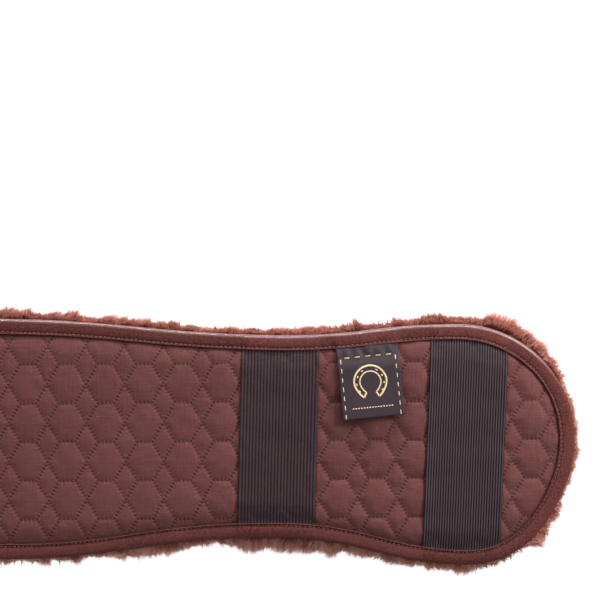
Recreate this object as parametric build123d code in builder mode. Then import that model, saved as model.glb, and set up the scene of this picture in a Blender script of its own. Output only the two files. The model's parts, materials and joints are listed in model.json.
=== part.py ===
from build123d import *

import os
from math import acos, degrees, radians, tan

# Girth sleeve: a long padded strip that a saddle girth slides into, so that fur and not leather
# lies against the horse. It lies flat, fur down. X runs along its length, +Y is its straighter
# long edge, +Z is its quilted face. The origin is on the fur's resting plane, halfway along.
#
# A sewn strip bends anywhere. Here it bends at one fold line across the middle, so each layer is
# cut in two at X = 0, and the two halves turn about one axis just above the quilted face.

# ---- Driving dimensions, in millimetres and degrees -------------------------------------------
reach = 400.0  # more than half the length, which comes to 750 over the binding
width = 156.0  # over the binding, at the middle and at each end
waist_x = 183.0  # where the strip is narrowest
waist_y_straight = 69.3  # from the centre line to the straighter edge at the waist
waist_y_cut = 61.8  # from the centre line to the edge cut away for the horse's elbow
corner_straight = (300.2, 3.0)  # centre of the rounded corner towards the straighter edge
corner_cut = (306.5, -19.0)  # and towards the cut-away edge
flank_radius = 110.0  # the flatter arc that joins them round the tip

pile_height = 15.0  # fur, from the resting plane to its backing
pile_overhang = 4.0  # fur spreads this far past the binding
pile_core_inset = 11.0  # inside this, clear of the binding, fur reaches up to its backing
backing = 1.6  # knitted ground that holds the fur
scrim = 0.4  # thin lining behind the wadding
wadding_loft = 5.0  # wadding between the seams
wadding_squeezed = 1.2  # wadding inside the edge seam
cloth = 0.6  # quilted cotton face
dome_inset = 12.0  # the padding rises from here, just inside the binding
dome_wall = 0.8  # upright at first
dome_slope = 5.0  # and then sloping, to full height this much further in

tape = 0.8  # binding tape, folded over the edge
tape_play = 0.05  # between the tape and the edges of the layers inside it
binding_width = 10.0  # binding seen on the face
binding_round = 1.6  # rounding of its outer edges
seam_inset = 8.4  # binding seam, from the outer edge
thread = 0.25  # sewing thread, and how far it stands proud

elastic_width = 50.0
elastic = 1.2  # thickness of the free band
elastic_squeezed = 0.8  # thickness inside the edge seam
sewn_in = 7.0  # length of band and of label that is caught under the binding
sewn_past = 0.5  # of which this much shows past the binding's inner edge
end_band_x = 304.0  # centre of the band near each tip
end_band_lean = 1.7  # that band is sewn slightly askew
waist_band_lean = 0.7

label_x, label_y = 239.4, 62.6  # middle of the label's sewn edge
label_turn = 6.3  # it follows the slope of the edge
label_width, label_drop = 40.0, 46.0
leaf = 0.5  # one thickness of woven label, which is folded double
label_gap = 0.2  # between its two leaves
label_pivot_rise = 0.5  # it turns about a line this far above the binding
label_start = 0.8  # it begins this far from that line
label_shoulder = 5.0  # and is up on the padding this far from it

border_dash, border_dash_width = 2.3, 0.6
border_side_dashes, border_top_dashes = 7, 6
border_side_margin, border_top_margin, border_end_margin = 2.0, 9.0, 2.5
shoe_radius, shoe_stroke = 9.5, 2.2  # a plain horseshoe
shoe_drop = 23.5  # its middle, from the label's sewn edge
shoe_mouth_width, shoe_mouth_height = 9.5, 11.4
bar_length, bar_height = 25.0, 1.0  # a plain bar of stitches under it
bar_drop = 39.0

fold_height = 24.0  # fold axis, above the resting plane
fold_down = 60.0  # the left half can drop this far below flat
fold_gap = 0.3  # between the halves, each side of the fold line
clear = 0.1  # between pieces that move apart
cut_past = 1.0  # a cutter runs this far past what it cuts

# ---- Levels, worked out from the layers -------------------------------------------------------
backing_z = pile_height
scrim_z = backing_z + backing
wadding_z = scrim_z + scrim
edge_cloth_z = wadding_z + wadding_squeezed  # underside of the cotton inside the edge seam
edge_top_z = edge_cloth_z + cloth
face_z = wadding_z + wadding_loft + cloth  # top of the quilted face
binding_under_z = backing_z - tape
binding_top_z = edge_top_z + tape
layer_inset = tape + tape_play  # layers stop just inside the folded tape
label_pivot_z = binding_top_z + label_pivot_rise
band_end_z = edge_top_z - elastic_squeezed / 2  # sewn ends press equally into cotton and tape


def tip_flank():
    """Where the arc round the tip touches the two corner circles."""
    straight, cut = Vector(corner_straight), Vector(corner_cut)
    to_straight = flank_radius - (width / 2 - straight.Y)
    to_cut = flank_radius - (width / 2 + cut.Y)
    apart = (cut - straight).length
    cosine = (to_straight**2 + apart**2 - to_cut**2) / (2 * to_straight * apart)
    towards = (cut - straight).normalized().rotate(Axis.Z, -degrees(acos(cosine)))
    centre = straight + towards * to_straight
    touch = [centre + (corner - centre).normalized() * flank_radius for corner in (straight, cut)]
    return touch


def long_edge(middle, waist, end, side):
    """One long edge: four arcs, level at the middle, at the waist and where the end begins."""
    heading = (side, 0)
    for start, stop in ((middle, waist), (waist, end)):
        halfway = ((start[0] + stop[0]) / 2, (start[1] + stop[1]) / 2)
        first = TangentArc(start, halfway, tangent=heading)
        TangentArc(halfway, stop, tangent=first % 1)


def pad_outline(inset=0.0):
    """The strip's outline, moved inwards by inset: one half drawn, the other mirrored."""
    half_width = width / 2
    touch_straight, touch_cut = tip_flank()
    top_end = (corner_straight[0], half_width)
    low_end = (corner_cut[0], -half_width)
    with BuildSketch() as sketch:
        with BuildLine():
            long_edge((0, half_width), (waist_x, waist_y_straight), top_end, 1)
            long_edge((0, -half_width), (waist_x, -waist_y_cut), low_end, 1)
            corner = TangentArc(top_end, touch_straight, tangent=(1, 0))
            TangentArc(low_end, touch_cut, tangent=(1, 0))
            TangentArc(touch_straight, touch_cut, tangent=corner % 1)
            mirror(about=Plane.YZ)
        make_face()
        if inset:
            offset(amount=-inset, mode=Mode.REPLACE)
    return sketch.sketch


def slab(inset, low, high):
    """A flat sheet with the strip's outline, between two heights."""
    with BuildPart() as sheet:
        with BuildSketch(Plane.XY.offset(low)):
            add(pad_outline(inset))
        extrude(amount=high - low)
    return sheet.part


def dome(grow):
    """The padded middle with its sloping shoulders; grow moves its skin outwards."""
    with BuildPart() as padding:
        with BuildSketch(Plane.XY.offset(edge_cloth_z)):
            add(pad_outline(dome_inset - grow))
        extrude(amount=face_z + grow - edge_cloth_z)
        top = padding.faces().sort_by(Axis.Z)[-1]
        rise = face_z - edge_top_z - dome_wall
        chamfer(top.edges(), length=dome_slope, length2=rise, reference=top)
    return padding.part


def half_space(side):
    """Everything on one side of the fold line, drawn back below the axis so that it can drop."""
    slope = tan(radians(fold_down / 2))
    far, top, under = reach, 3 * fold_height, -fold_height
    with BuildPart() as block:
        with BuildSketch(Plane.XZ):
            with BuildLine():
                Polyline(
                    (fold_gap, top),
                    (fold_gap, fold_height),
                    (fold_gap + slope * (fold_height - under), under),
                    (far, under),
                    (far, top),
                    close=True,
                )
            make_face()
            if side == "left":
                mirror(about=Plane.YZ, mode=Mode.REPLACE)
        extrude(amount=width, both=True)
    return block.part


def band_block(centre_x, lean, inset_from, inset_to, low, high):
    """A band's footprint: its width, between two insets from the edge and two heights."""
    with BuildPart() as block:
        with BuildSketch(Plane.XY.offset(low)):
            add(pad_outline(inset_from))
            if inset_to:
                add(pad_outline(inset_to), mode=Mode.SUBTRACT)
            with Locations(Location((centre_x, 0, 0), (0, 0, -lean))):
                Rectangle(elastic_width, 2 * width, mode=Mode.INTERSECT)
        extrude(amount=high - low)
    return block.part


def save(solid, name):
    """Labels a finished piece and writes its STEP file."""
    solid.label = name
    export_step(solid, f"parts/{name}.step")


os.makedirs("parts", exist_ok=True)

bands = {
    "waist_elastic_right": (waist_x, waist_band_lean),
    "end_elastic_right": (end_band_x, end_band_lean),
    "waist_elastic_left": (-waist_x, -waist_band_lean),
    "end_elastic_left": (-end_band_x, -end_band_lean),
}
label_plane = Plane(
    origin=(label_x, label_y, 0),
    x_dir=Vector(1, 0, 0).rotate(Axis.Z, label_turn),
    z_dir=(0, 0, 1),
)

# ---- Ends caught in the edge seam -------------------------------------------------------------
sewn_to = binding_width + sewn_past
sewn_from = sewn_to - sewn_in
band_end_top = band_end_z + elastic_squeezed
caught_ends = []
for name, (centre_x, lean) in bands.items():
    ends = band_block(centre_x, lean, sewn_from, sewn_to, band_end_z, band_end_top)
    caught_ends.append(ends)
    save(ends, f"{name}_sewn_ends")

with BuildPart() as label_end:
    with BuildSketch(label_plane.offset(band_end_z)):
        with Locations((0, sewn_in / 2)):
            Rectangle(label_width, sewn_in)
    extrude(amount=elastic_squeezed)
caught_ends.append(label_end.part)
save(label_end.part, "label_sewn_end")

# ---- Layers of the strip, from the fur up -----------------------------------------------------
with BuildPart() as fur_pile:
    add(slab(-pile_overhang, 0, binding_under_z - 2 * thread))
    chamfer(fur_pile.edges().group_by(Axis.Z)[0], length=pile_overhang)
    chamfer(fur_pile.edges().group_by(Axis.Z)[-1], length=pile_overhang / 2)
    add(slab(pile_core_inset, pile_height / 2, backing_z))

with BuildPart() as pile_backing:
    add(slab(layer_inset, backing_z, scrim_z))

with BuildPart() as wadding_scrim:
    add(slab(layer_inset, scrim_z, wadding_z))

with BuildPart() as wadding:
    add(slab(layer_inset, wadding_z, edge_cloth_z))
    add(dome(-cloth))

with BuildPart() as quilted_cover:
    add(slab(layer_inset, edge_cloth_z, edge_top_z))
    add(dome(0))
    add(dome(-cloth), mode=Mode.SUBTRACT)
    for ends in caught_ends:
        add(ends, mode=Mode.SUBTRACT)

with BuildPart() as edge_binding:
    add(slab(0, binding_under_z, binding_top_z))
    rims = edge_binding.edges().group_by(Axis.Z)
    fillet(rims[0] + rims[-1], radius=binding_round)
    add(slab(tape, backing_z, edge_top_z), mode=Mode.SUBTRACT)
    window = slab(binding_width, binding_under_z - cut_past, binding_top_z + cut_past)
    add(window, mode=Mode.SUBTRACT)
    for ends in caught_ends:
        add(ends, mode=Mode.SUBTRACT)

with BuildPart() as binding_thread:
    for low in (binding_top_z, binding_under_z - thread):
        add(slab(seam_inset - thread, low, low + thread))
        add(slab(seam_inset + thread, low, low + thread), mode=Mode.SUBTRACT)

layers = {
    "fur_pile": fur_pile,
    "pile_backing": pile_backing,
    "wadding_scrim": wadding_scrim,
    "wadding": wadding,
    "quilted_cover": quilted_cover,
    "edge_binding": edge_binding,
    "binding_thread": binding_thread,
}
for side in ("right", "left"):
    for name, whole in layers.items():
        with BuildPart() as half:
            add(whole.part)
            add(half_space(side), mode=Mode.INTERSECT)
        save(half.part, f"{name}_{side}")

# ---- Free spans of the elastic bands ----------------------------------------------------------
skin_inner, skin_outer = dome(clear), dome(clear + elastic)
for name, (centre_x, lean) in bands.items():
    with BuildPart() as span:
        add(skin_outer)
        add(skin_inner, mode=Mode.SUBTRACT)
        strip = band_block(centre_x, lean, 0, 0, edge_top_z + clear, 2 * fold_height)
        add(strip, mode=Mode.INTERSECT)
    save(span.part, name)

# ---- Label: a woven strip folded double, hanging from the seam --------------------------------
flat_z = face_z + clear - label_pivot_z  # where the label lies flat, from its pivot
doubled = 2 * leaf + label_gap
side_plane = Plane(
    origin=label_plane.from_local_coords(Vector(0, 0, label_pivot_z)),
    x_dir=-label_plane.y_dir,
    z_dir=-label_plane.x_dir,
)

with BuildPart() as label_flap:
    with BuildSketch(side_plane) as profile:
        with BuildLine():
            Polyline(
                (label_start, 0),
                (label_start, doubled),
                (label_shoulder, flat_z + doubled),
                (label_drop, flat_z + doubled),
                (label_drop, flat_z),
                (label_shoulder, flat_z),
                close=True,
            )
        make_face()
        fillet(profile.vertices().group_by(Axis.X)[-1], radius=leaf)
        with BuildLine():
            Polyline(
                (0, leaf),
                (0, leaf + label_gap),
                (label_start, leaf + label_gap),
                (label_shoulder, flat_z + leaf + label_gap),
                (label_drop - leaf, flat_z + leaf + label_gap),
                (label_drop - leaf, flat_z + leaf),
                (label_shoulder, flat_z + leaf),
                (label_start, leaf),
                close=True,
            )
        make_face(mode=Mode.SUBTRACT)
    extrude(amount=label_width / 2, both=True)
save(label_flap.part, "label_flap")

label_top = label_plane.offset(label_pivot_z + flat_z + doubled)
border_x = label_width / 2 - border_side_margin
border_top, border_end = -border_top_margin, -(label_drop - border_end_margin)
dash_pitch = (border_top - border_end) / (border_side_dashes - 1)
with BuildPart() as label_border_thread:
    with BuildSketch(label_top):
        with Locations((0, (border_top + border_end) / 2)):
            with GridLocations(2 * border_x, dash_pitch, 2, border_side_dashes):
                Rectangle(border_dash_width, border_dash)
        with Locations((0, border_top + border_dash)):
            with GridLocations(2 * border_x / border_top_dashes, 1, border_top_dashes, 1):
                Rectangle(border_dash, border_dash_width)
    extrude(amount=thread)
save(label_border_thread.part, "label_border_thread")

with BuildPart() as label_emblem_thread:
    with BuildSketch(label_top):
        with Locations((0, -shoe_drop)):
            Circle(shoe_radius + shoe_stroke / 2)
            Circle(shoe_radius - shoe_stroke / 2, mode=Mode.SUBTRACT)
        with Locations((0, -shoe_drop - shoe_radius)):
            Rectangle(shoe_mouth_width, shoe_mouth_height, mode=Mode.SUBTRACT)
        with Locations((0, -bar_drop)):
            Rectangle(bar_length, bar_height)
    extrude(amount=thread)
save(label_emblem_thread.part, "label_emblem_thread")
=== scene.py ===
"""Looks of the girth sleeve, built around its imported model. Lengths here are in millimetres."""

import json
import math

import bpy
import numpy as np
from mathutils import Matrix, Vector


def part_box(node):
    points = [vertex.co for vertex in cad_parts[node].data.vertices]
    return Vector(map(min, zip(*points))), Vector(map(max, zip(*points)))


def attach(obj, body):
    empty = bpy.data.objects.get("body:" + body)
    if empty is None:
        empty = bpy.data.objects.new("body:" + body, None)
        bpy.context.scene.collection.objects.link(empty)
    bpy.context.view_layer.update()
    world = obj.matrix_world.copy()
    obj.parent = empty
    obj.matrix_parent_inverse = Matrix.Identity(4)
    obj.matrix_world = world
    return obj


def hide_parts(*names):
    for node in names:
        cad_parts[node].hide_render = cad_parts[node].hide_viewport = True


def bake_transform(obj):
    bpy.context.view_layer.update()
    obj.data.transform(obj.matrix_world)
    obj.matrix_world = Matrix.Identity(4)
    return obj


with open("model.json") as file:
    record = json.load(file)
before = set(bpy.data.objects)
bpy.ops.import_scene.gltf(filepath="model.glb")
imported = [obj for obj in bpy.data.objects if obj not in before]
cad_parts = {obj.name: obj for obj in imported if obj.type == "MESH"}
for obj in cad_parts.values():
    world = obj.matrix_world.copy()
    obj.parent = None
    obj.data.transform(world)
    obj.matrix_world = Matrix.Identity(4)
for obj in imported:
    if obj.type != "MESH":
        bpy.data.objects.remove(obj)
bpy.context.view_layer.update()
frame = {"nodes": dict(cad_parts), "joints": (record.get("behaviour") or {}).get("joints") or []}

MM = 0.001
rng = np.random.default_rng(7)

# ---- Driving sizes ----
RIM_STEP = 1.4  # spacing of the points round the outline
LAYER_INSET = 0.85  # the inner layers stop this far inside the binding's outer face
LAYER_STEP = 2.5

BINDING_WIDTH = 10.0
BINDING_SEAM = 8.4  # its stitches, from the outer face
BINDING_STITCH = 2.9
TAPE = 0.8

COVER_STEP = 0.95
COVER_CLOTH = 0.6
COVER_EDGE = 4.0  # the face ends this far in, under the binding
FACE_RISE = 11.0  # it reaches its full height this far in from the binding
VALLEY_DEPTH = 2.2
SIDEWAYS_CAP = 0.7

QUILT_PITCH = 25.0  # hexagons repeat at this pitch both ways
QUILT_FLAT = 5.2  # half the level stitch line at the top and bottom of each hexagon
QUILT_ORIGIN = (-3.6, -2.6)
QUILT_TURN = math.radians(1.1)
QUILT_LEVEL_COUNT, QUILT_SLANT_COUNT = 4, 6  # stitches along each straight run
QUILT_CELLS = (16, 4)  # cells each way from the middle, enough to cover the strip
PUFF_MIDDLE, PUFF_END = 0.3, 0.5  # before the cloth settles; less in the stretched middle
SETTLED_MIDDLE, SETTLED_END = 0.45, 0.86  # how much of the settled puff is kept

CLOTH_STEP = 1.7  # the grid that the cloth simulation runs on
CLOTH_SCALE = 50 * MM  # it runs on a larger copy, where the solver's settings behave
CLOTH_FRAMES = 14
CLOTH_CAP = 4.0  # the cloth never moves further than this
CLOTH_SETTINGS = {
    "quality": 4,
    "mass": 0.3,
    "tension_stiffness": 15,
    "compression_stiffness": 15,
    "shear_stiffness": 6,
    "bending_stiffness": 0.25,
    "vertex_group_mass": "held",
    "vertex_group_shrink": "slack",
    "shrink_min": -0.02,
    "shrink_max": -0.05,
    "use_pressure": True,
    "uniform_pressure_force": 0.9,
}

HALF_BAND = 25.0
RIBS = {"waist": 24, "end": 30}
RIB_SAMPLES = 8
ELASTIC_THICK = 1.0
RIB_DEPTH = 0.4
BAND_STEPS = 61  # points along half a band
BAND_PRESS = 0.4  # how much of the quilt's puff is left under a band

HALF_LABEL = 20.0
LABEL_DROP = 46.0
LEAF = 0.5
LABEL_THICK = 2 * LEAF + 0.25
BORDER_INSET = 2.3
LINE_DOWN = 38.9  # the row of stitches, below the seam
SHOE_MIDDLE = 23.0
SHOE_OUTER, SHOE_INNER, SHOE_NAILS = (10.6, 11.0), (6.9, 7.3), (8.8, 9.15)  # half sizes
THREAD_RISE = 0.2

LOCK_WIDTH = 3.2  # the pile mats into locks about this wide
TUFT_MAX = 8.5
FRINGE_TUFTS, UNDERSIDE_TUFTS = 19500, 18000  # in each piece
CLUMPS = (  # X of each large clump or bare place, its long edge, half its width, how much it adds
    (336, 1, 20, 5.0),
    (184, -1, 41, 5.8),
    (108, -1, 24, 4.2),
    (141, -1, 4, -3.0),
    (272, -1, 46, 1.8),
    (303, -1, 5, 3.0),
    (334, -1, 8, -3.5),
    (351, -1, 5, 3.4),
    (364, -1, 6, -2.0),
    (285, 1, 12, 2.0),
    (40, 1, 14, 1.6),
    (114, 1, 4, 2.4),
    (-150, 1, 28, 3.6),
    (-260, -1, 30, 4.2),
)
FLOOR_DROP = 0.4  # the floor lies just under the tips of the pile
FLOOR_HALF = 6.0  # in metres
CAMERA_SPOT = (196.0, 92.3)
CAMERA_ROLL = math.radians(0.67)
VIEW_WIDTH = 387.0  # what the camera's frame covers


# ---- Places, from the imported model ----
def heights(node):
    """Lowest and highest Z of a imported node."""
    return [corner[2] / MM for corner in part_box(node)]


def node_points(node):
    mesh = frame["nodes"][node].data
    points = np.empty(len(mesh.vertices) * 3, np.float32)
    mesh.vertices.foreach_get("co", points)
    return points.reshape(-1, 3).astype(float) / MM


JOINTS = {joint["name"]: joint for joint in frame["joints"]}
TAPE_LOW, TAPE_TOP = heights("edge_binding_right")
BACK_LOW, BACK_TOP = heights("pile_backing_right")
SCRIM_TOP = heights("wadding_scrim_right")[1]
FACE_TOP = heights("quilted_cover_right")[1]
EDGE_TOP = TAPE_TOP - TAPE
VALLEY = FACE_TOP - VALLEY_DEPTH  # the face at a quilting seam


def band_place(node, clear=20):
    """Where a band crosses the centre line, and how far it leans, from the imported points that
    lie clear of the centre line."""
    points = node_points(node)
    ends = points[points[:, 1] > clear], points[points[:, 1] < -clear]
    (high_x, high_y), (low_x, low_y) = ((end.min(0) + end.max(0))[:2] / 2 for end in ends)
    lean = (high_x - low_x) / (high_y - low_y)
    return low_x - low_y * lean, lean


BANDS = {
    name: band_place(name)
    for name in ("waist_elastic_right", "end_elastic_right", "waist_elastic_left", "end_elastic_left")
}


# ---- Small numeric tools ----
def smooth(low, high, value):
    """0 below low, 1 above high, smooth between."""
    t = np.clip((np.asarray(value, float) - low) / (high - low), 0, 1)
    return t * t * (3 - 2 * t)


def noise(x, y, size, seed):
    """Smooth noise from -1 to 1 whose features are about size across."""
    table = np.random.default_rng(seed).uniform(-1, 1, (128, 128))
    x, y = np.broadcast_arrays(np.asarray(x, float) / size, np.asarray(y, float) / size)
    column, row = np.floor(x).astype(int), np.floor(y).astype(int)
    u, v = x - column, y - row
    u, v = u * u * (3 - 2 * u), v * v * (3 - 2 * v)

    def corner(i, j):
        return table[(column + i) % 128, (row + j) % 128]

    near = corner(0, 0) * (1 - u) + corner(1, 0) * u
    far = corner(0, 1) * (1 - u) + corner(1, 1) * u
    return near * (1 - v) + far * v


def unit(vectors):
    return vectors / np.linalg.norm(vectors, axis=1)[:, None]


def circle(sides):
    return np.arange(sides) * 2 * math.pi / sides


# ---- Outline ----
def outline():
    """Points evenly round the binding's outer face, and the outward direction at each."""
    rim = np.vstack([node_points("pile_backing_right"), node_points("pile_backing_left")])
    rim = rim[rim[:, 2] > BACK_TOP - 0.01][:, :2]
    rim = rim[np.argsort(np.arctan2(rim[:, 1], rim[:, 0]))]
    closed = np.vstack([rim, rim[:1]])
    along = np.concatenate([[0], np.cumsum(np.linalg.norm(np.diff(closed, axis=0), axis=1))])
    count = int(along[-1] / RIM_STEP)
    at = np.arange(count) * along[-1] / count
    points = np.column_stack([np.interp(at, along, closed[:, axis]) for axis in (0, 1)])
    for _ in range(12):
        points = (np.roll(points, 1, 0) + 2 * points + np.roll(points, -1, 0)) / 4
    heading = unit(np.roll(points, -1, 0) - np.roll(points, 1, 0))
    outward = np.column_stack([heading[:, 1], -heading[:, 0]])
    return points + LAYER_INSET * outward, outward


RIM, OUTWARD = outline()
RIM_LENGTH = np.linalg.norm(RIM - np.roll(RIM, 1, 0), axis=1).sum()
RIM_AT = np.arange(len(RIM)) * RIM_LENGTH / len(RIM)


def rim_place(at):
    """X and Y of places along the outline, and of the outward direction there."""
    columns = (RIM[:, 0], RIM[:, 1], OUTWARD[:, 0], OUTWARD[:, 1])
    return [np.interp(at, RIM_AT, column, period=RIM_LENGTH) for column in columns]


def inset_of(x, y, chunk=4000):
    """How far inside the outline each point is, and which point of the outline is nearest."""
    points = np.column_stack([np.ravel(x), np.ravel(y)])
    inset = np.empty(len(points))
    nearest = np.empty(len(points), int)
    for start in range(0, len(points), chunk):
        part = points[start : start + chunk]
        near = ((part[:, None, :] - RIM[None, :, :]) ** 2).sum(2).argmin(1)
        inset[start : start + chunk] = ((RIM[near] - part) * OUTWARD[near]).sum(1)
        nearest[start : start + chunk] = near
    return inset.reshape(np.shape(x)), nearest.reshape(np.shape(x))


def under_band(x, y):
    """1 where a band covers the face, 0 elsewhere."""
    cover = np.zeros(np.shape(x))
    for centre, lean in BANDS.values():
        across = np.abs(x - centre - lean * y)
        cover = np.maximum(cover, 1 - smooth(HALF_BAND - 3, HALF_BAND + 1, across))
    return cover


# ---- Meshes ----
def link(name, data):
    made = bpy.data.objects.new(name, data)
    bpy.context.scene.collection.objects.link(made)
    return made


def make_piece(name, points, faces, materials, slots=None, rest=None, attributes=(), flat=0):
    """A mesh object from points in millimetres. It keeps rest
    coordinates for its materials. Values for one skin repeat for the other. Its last faces, as
    many as flat says, are shaded flat."""
    points = np.asarray(points, float)
    mesh = bpy.data.meshes.new(name)
    if isinstance(faces, np.ndarray):
        faces = [faces]
    loops = np.concatenate([np.ravel(group) for group in faces]).astype(np.int32)
    sizes = np.concatenate([np.full(len(group), group.shape[1]) for group in faces])
    mesh.vertices.add(len(points))
    mesh.vertices.foreach_set("co", (points * MM).astype(np.float32).ravel())
    mesh.loops.add(len(loops))
    mesh.loops.foreach_set("vertex_index", loops)
    mesh.polygons.add(len(sizes))
    starts = np.concatenate([[0], np.cumsum(sizes)[:-1]]).astype(np.int32)
    mesh.polygons.foreach_set("loop_start", starts)
    mesh.polygons.foreach_set("use_smooth", np.arange(len(sizes)) < len(sizes) - flat)
    if slots is not None:
        mesh.polygons.foreach_set("material_index", np.asarray(slots, np.int32))
    mesh.update(calc_edges=True)
    if flat:
        edge_of_loop = np.empty(len(loops), np.int32)
        mesh.loops.foreach_get("edge_index", edge_of_loop)
        sharp = np.zeros(len(mesh.edges), bool)
        sharp[edge_of_loop[starts[len(sizes) - flat] :]] = True
        mesh.attributes.new("sharp_edge", "BOOLEAN", "EDGE").data.foreach_set("value", sharp)
    mesh.validate()
    kept = np.resize(points if rest is None else rest, points.shape).astype(np.float32)
    mesh.attributes.new("rest", "FLOAT_VECTOR", "POINT").data.foreach_set("vector", kept.ravel())
    for key, values in dict(attributes).items():
        values = np.resize(values, len(points)).astype(np.float32)
        mesh.attributes.new(key, "FLOAT", "POINT").data.foreach_set("value", values)
    for material in materials:
        mesh.materials.append(material)
    piece = link(name, mesh)
    return piece


def fold_across(piece, *nodes):
    """A piece that runs through the fold stays one piece, in world space; these nodes are hidden on both
    halves.
    """
    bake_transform(piece)
    if nodes:
        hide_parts(*[f"{node}_{side}" for node in nodes for side in ("right", "left")])


def lattice(rows, columns, ring=False, closed=False):
    """Faces over a grid of points. Each row can be a ring, and the rows can close on the first."""
    index = np.arange(rows * columns).reshape(rows, columns)
    if ring:
        index = np.hstack([index, index[:, :1]])
    if closed:
        index = np.vstack([index, index[:1]])
    return np.stack([index[:-1, :-1], index[1:, :-1], index[1:, 1:], index[:-1, 1:]], -1)


def turned_over(faces):
    """The same faces seen from behind."""
    return faces.reshape(-1, 4)[:, [0, 3, 2, 1]]


def repeated(groups, count, size):
    """The same faces for each of count bodies that have size points each."""
    faces = np.vstack(groups)
    offset = (np.arange(count) * size)[:, None, None]
    return (faces[None] + offset).reshape(-1, faces.shape[1])


def sheet(step, inset_kept):
    """A square grid cut to the outline: its points, their insets, its faces, its open edges."""
    reach = np.abs(RIM).max(0) - min(inset_kept, 0) + step
    xs, ys = (np.arange(-far, far + step, step) for far in reach)
    x, y = np.meshgrid(xs, ys, indexing="ij")
    inset, nearest = inset_of(x, y)
    inside = inset > inset_kept
    cells = inside[:-1, :-1] & inside[1:, :-1] & inside[1:, 1:] & inside[:-1, 1:]
    used, faces = np.unique(lattice(*x.shape)[cells], return_inverse=True)
    faces = faces.reshape(-1, 4)
    x, y, inset = x.ravel()[used], y.ravel()[used], inset.ravel()[used]
    outward = OUTWARD[nearest.ravel()[used]]
    rim_edges = open_edges(faces)
    border = np.unique(rim_edges)
    shift = (inset[border] - inset_kept)[:, None] * outward[border]
    x[border] += shift[:, 0]
    y[border] += shift[:, 1]
    inset[border] = inset_kept
    return x, y, inset, faces, rim_edges


def open_edges(faces):
    """Directed edges that only one face uses."""
    edges = np.vstack([faces[:, [i, (i + 1) % 4]] for i in range(4)])
    count = faces.max() + 1
    key = edges[:, 0] * count + edges[:, 1]
    back = edges[:, 1] * count + edges[:, 0]
    return edges[~np.isin(key, back)]


def closed_sheet(x, y, top, bottom, faces, rim_edges):
    """A closed body between two height fields over one grid, its walls last."""
    count = len(x)
    points = np.vstack([np.column_stack([x, y, top]), np.column_stack([x, y, bottom])])
    a, b = rim_edges[:, 0], rim_edges[:, 1]
    walls = np.column_stack([b, a, a + count, b + count])
    return points, np.vstack([faces, faces[:, ::-1] + count, walls])


def pits(centres, radius, depth=0.25, sides=6):
    """Small dishes pressed into cloth where thread dives, for the painted shade of the needle holes: points
    and faces.
    """
    turns = circle(sides)
    ring = np.column_stack([np.cos(turns), np.sin(turns), 0 * turns]) * radius
    rims = centres[:, None, :] + ring[None] + [0, 0, 0.07]
    floors = centres[:, None, :] + [0, 0, 0.02]
    unders = centres[:, None, :] - [0, 0, depth]
    points = np.concatenate([rims, floors, unders], 1).reshape(-1, 3)
    i = np.arange(sides)
    j = (i + 1) % sides
    dish = np.column_stack([i, j, 0 * i + sides])
    under = np.column_stack([j, i, 0 * i + sides + 1])
    return points, repeated([dish, under], len(centres), sides + 2)


def spindles(centres, along, up, length, radius, droop, sides=5):
    """Short lengths of thread that rise from the cloth and dive back: points and faces."""
    turns = circle(sides)
    side = np.cross(up, along)[:, None, :] * np.cos(turns)[None, :, None]
    around = side + up[:, None, :] * np.sin(turns)[None, :, None]
    middles = [
        (centres + along * (station * length) - up * (droop * drop))[:, None, :]
        for station, drop in ((-0.5, 1.0), (-0.36, 0.4), (0.0, 0.0), (0.36, 0.4), (0.5, 1.0))
    ]
    for ring, width in ((1, 0.75), (2, 1.0), (3, 0.75)):
        middles[ring] = middles[ring] + around * (radius * width)
    points = np.concatenate(middles, 1).reshape(-1, 3)
    i = np.arange(sides)
    j = (i + 1) % sides
    first, second, third, last = 1 + np.arange(4) * sides
    sleeve = [
        np.column_stack([low + i, low + j, high + j, high + i])
        for low, high in ((first, second), (second, third))
    ]
    caps = [
        np.column_stack([first + j, first + i, 0 * i]),
        np.column_stack([third + i, third + j, 0 * i + last]),
    ]
    return points, [repeated(group, len(centres), last + 1) for group in (sleeve, caps)]


def make_stitches(name, thread, stitches, holes, *nodes):
    """A piece of raised stitches, and the pinholes where they dive, coloured near-black as painted shade."""
    points, faces = stitches
    hole_points, hole_faces = holes
    slots = np.repeat([0, 1], [sum(len(group) for group in faces), len(hole_faces)])
    faces = [*faces, hole_faces + len(points)]
    points = np.vstack([points, hole_points])
    fold_across(make_piece(name, points, faces, [thread, HOLE_SHADE], slots), *nodes)


# ---- Quilting ----
def quilt_axes(x, y):
    """Coordinates along and across the quilting pattern, which is sewn slightly askew."""
    x, y = x - QUILT_ORIGIN[0], y - QUILT_ORIGIN[1]
    c, s = math.cos(QUILT_TURN), math.sin(QUILT_TURN)
    wander_u = 0.5 * noise(x, y, 19, 21)
    wander_v = 0.5 * noise(x, y, 17, 22)
    return x * c + y * s + wander_u, y * c - x * s + wander_v


def seam_place(x, y):
    """Distance to the nearest quilting seam, and how many stitches along it from its middle.
    One quarter of a cell holds the whole pattern."""
    u, v = quilt_axes(x, y)
    half = QUILT_PITCH / 2
    u = np.abs((u + half) % QUILT_PITCH - half)
    v = np.abs((v + half) % QUILT_PITCH - half)
    level = np.hypot(np.maximum(u - QUILT_FLAT, 0), v)
    slant = np.array([half - QUILT_FLAT, half])
    t = np.clip(((u - QUILT_FLAT) * slant[0] + v * slant[1]) / (slant @ slant), 0, 1)
    sloped = np.hypot(u - QUILT_FLAT - t * slant[0], v - t * slant[1])
    corner = QUILT_LEVEL_COUNT / 2
    level_turns = np.minimum(u / QUILT_FLAT, 1) * corner
    turns = np.where(level < sloped, level_turns, corner + t * QUILT_SLANT_COUNT)
    return np.minimum(level, sloped), turns


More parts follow.
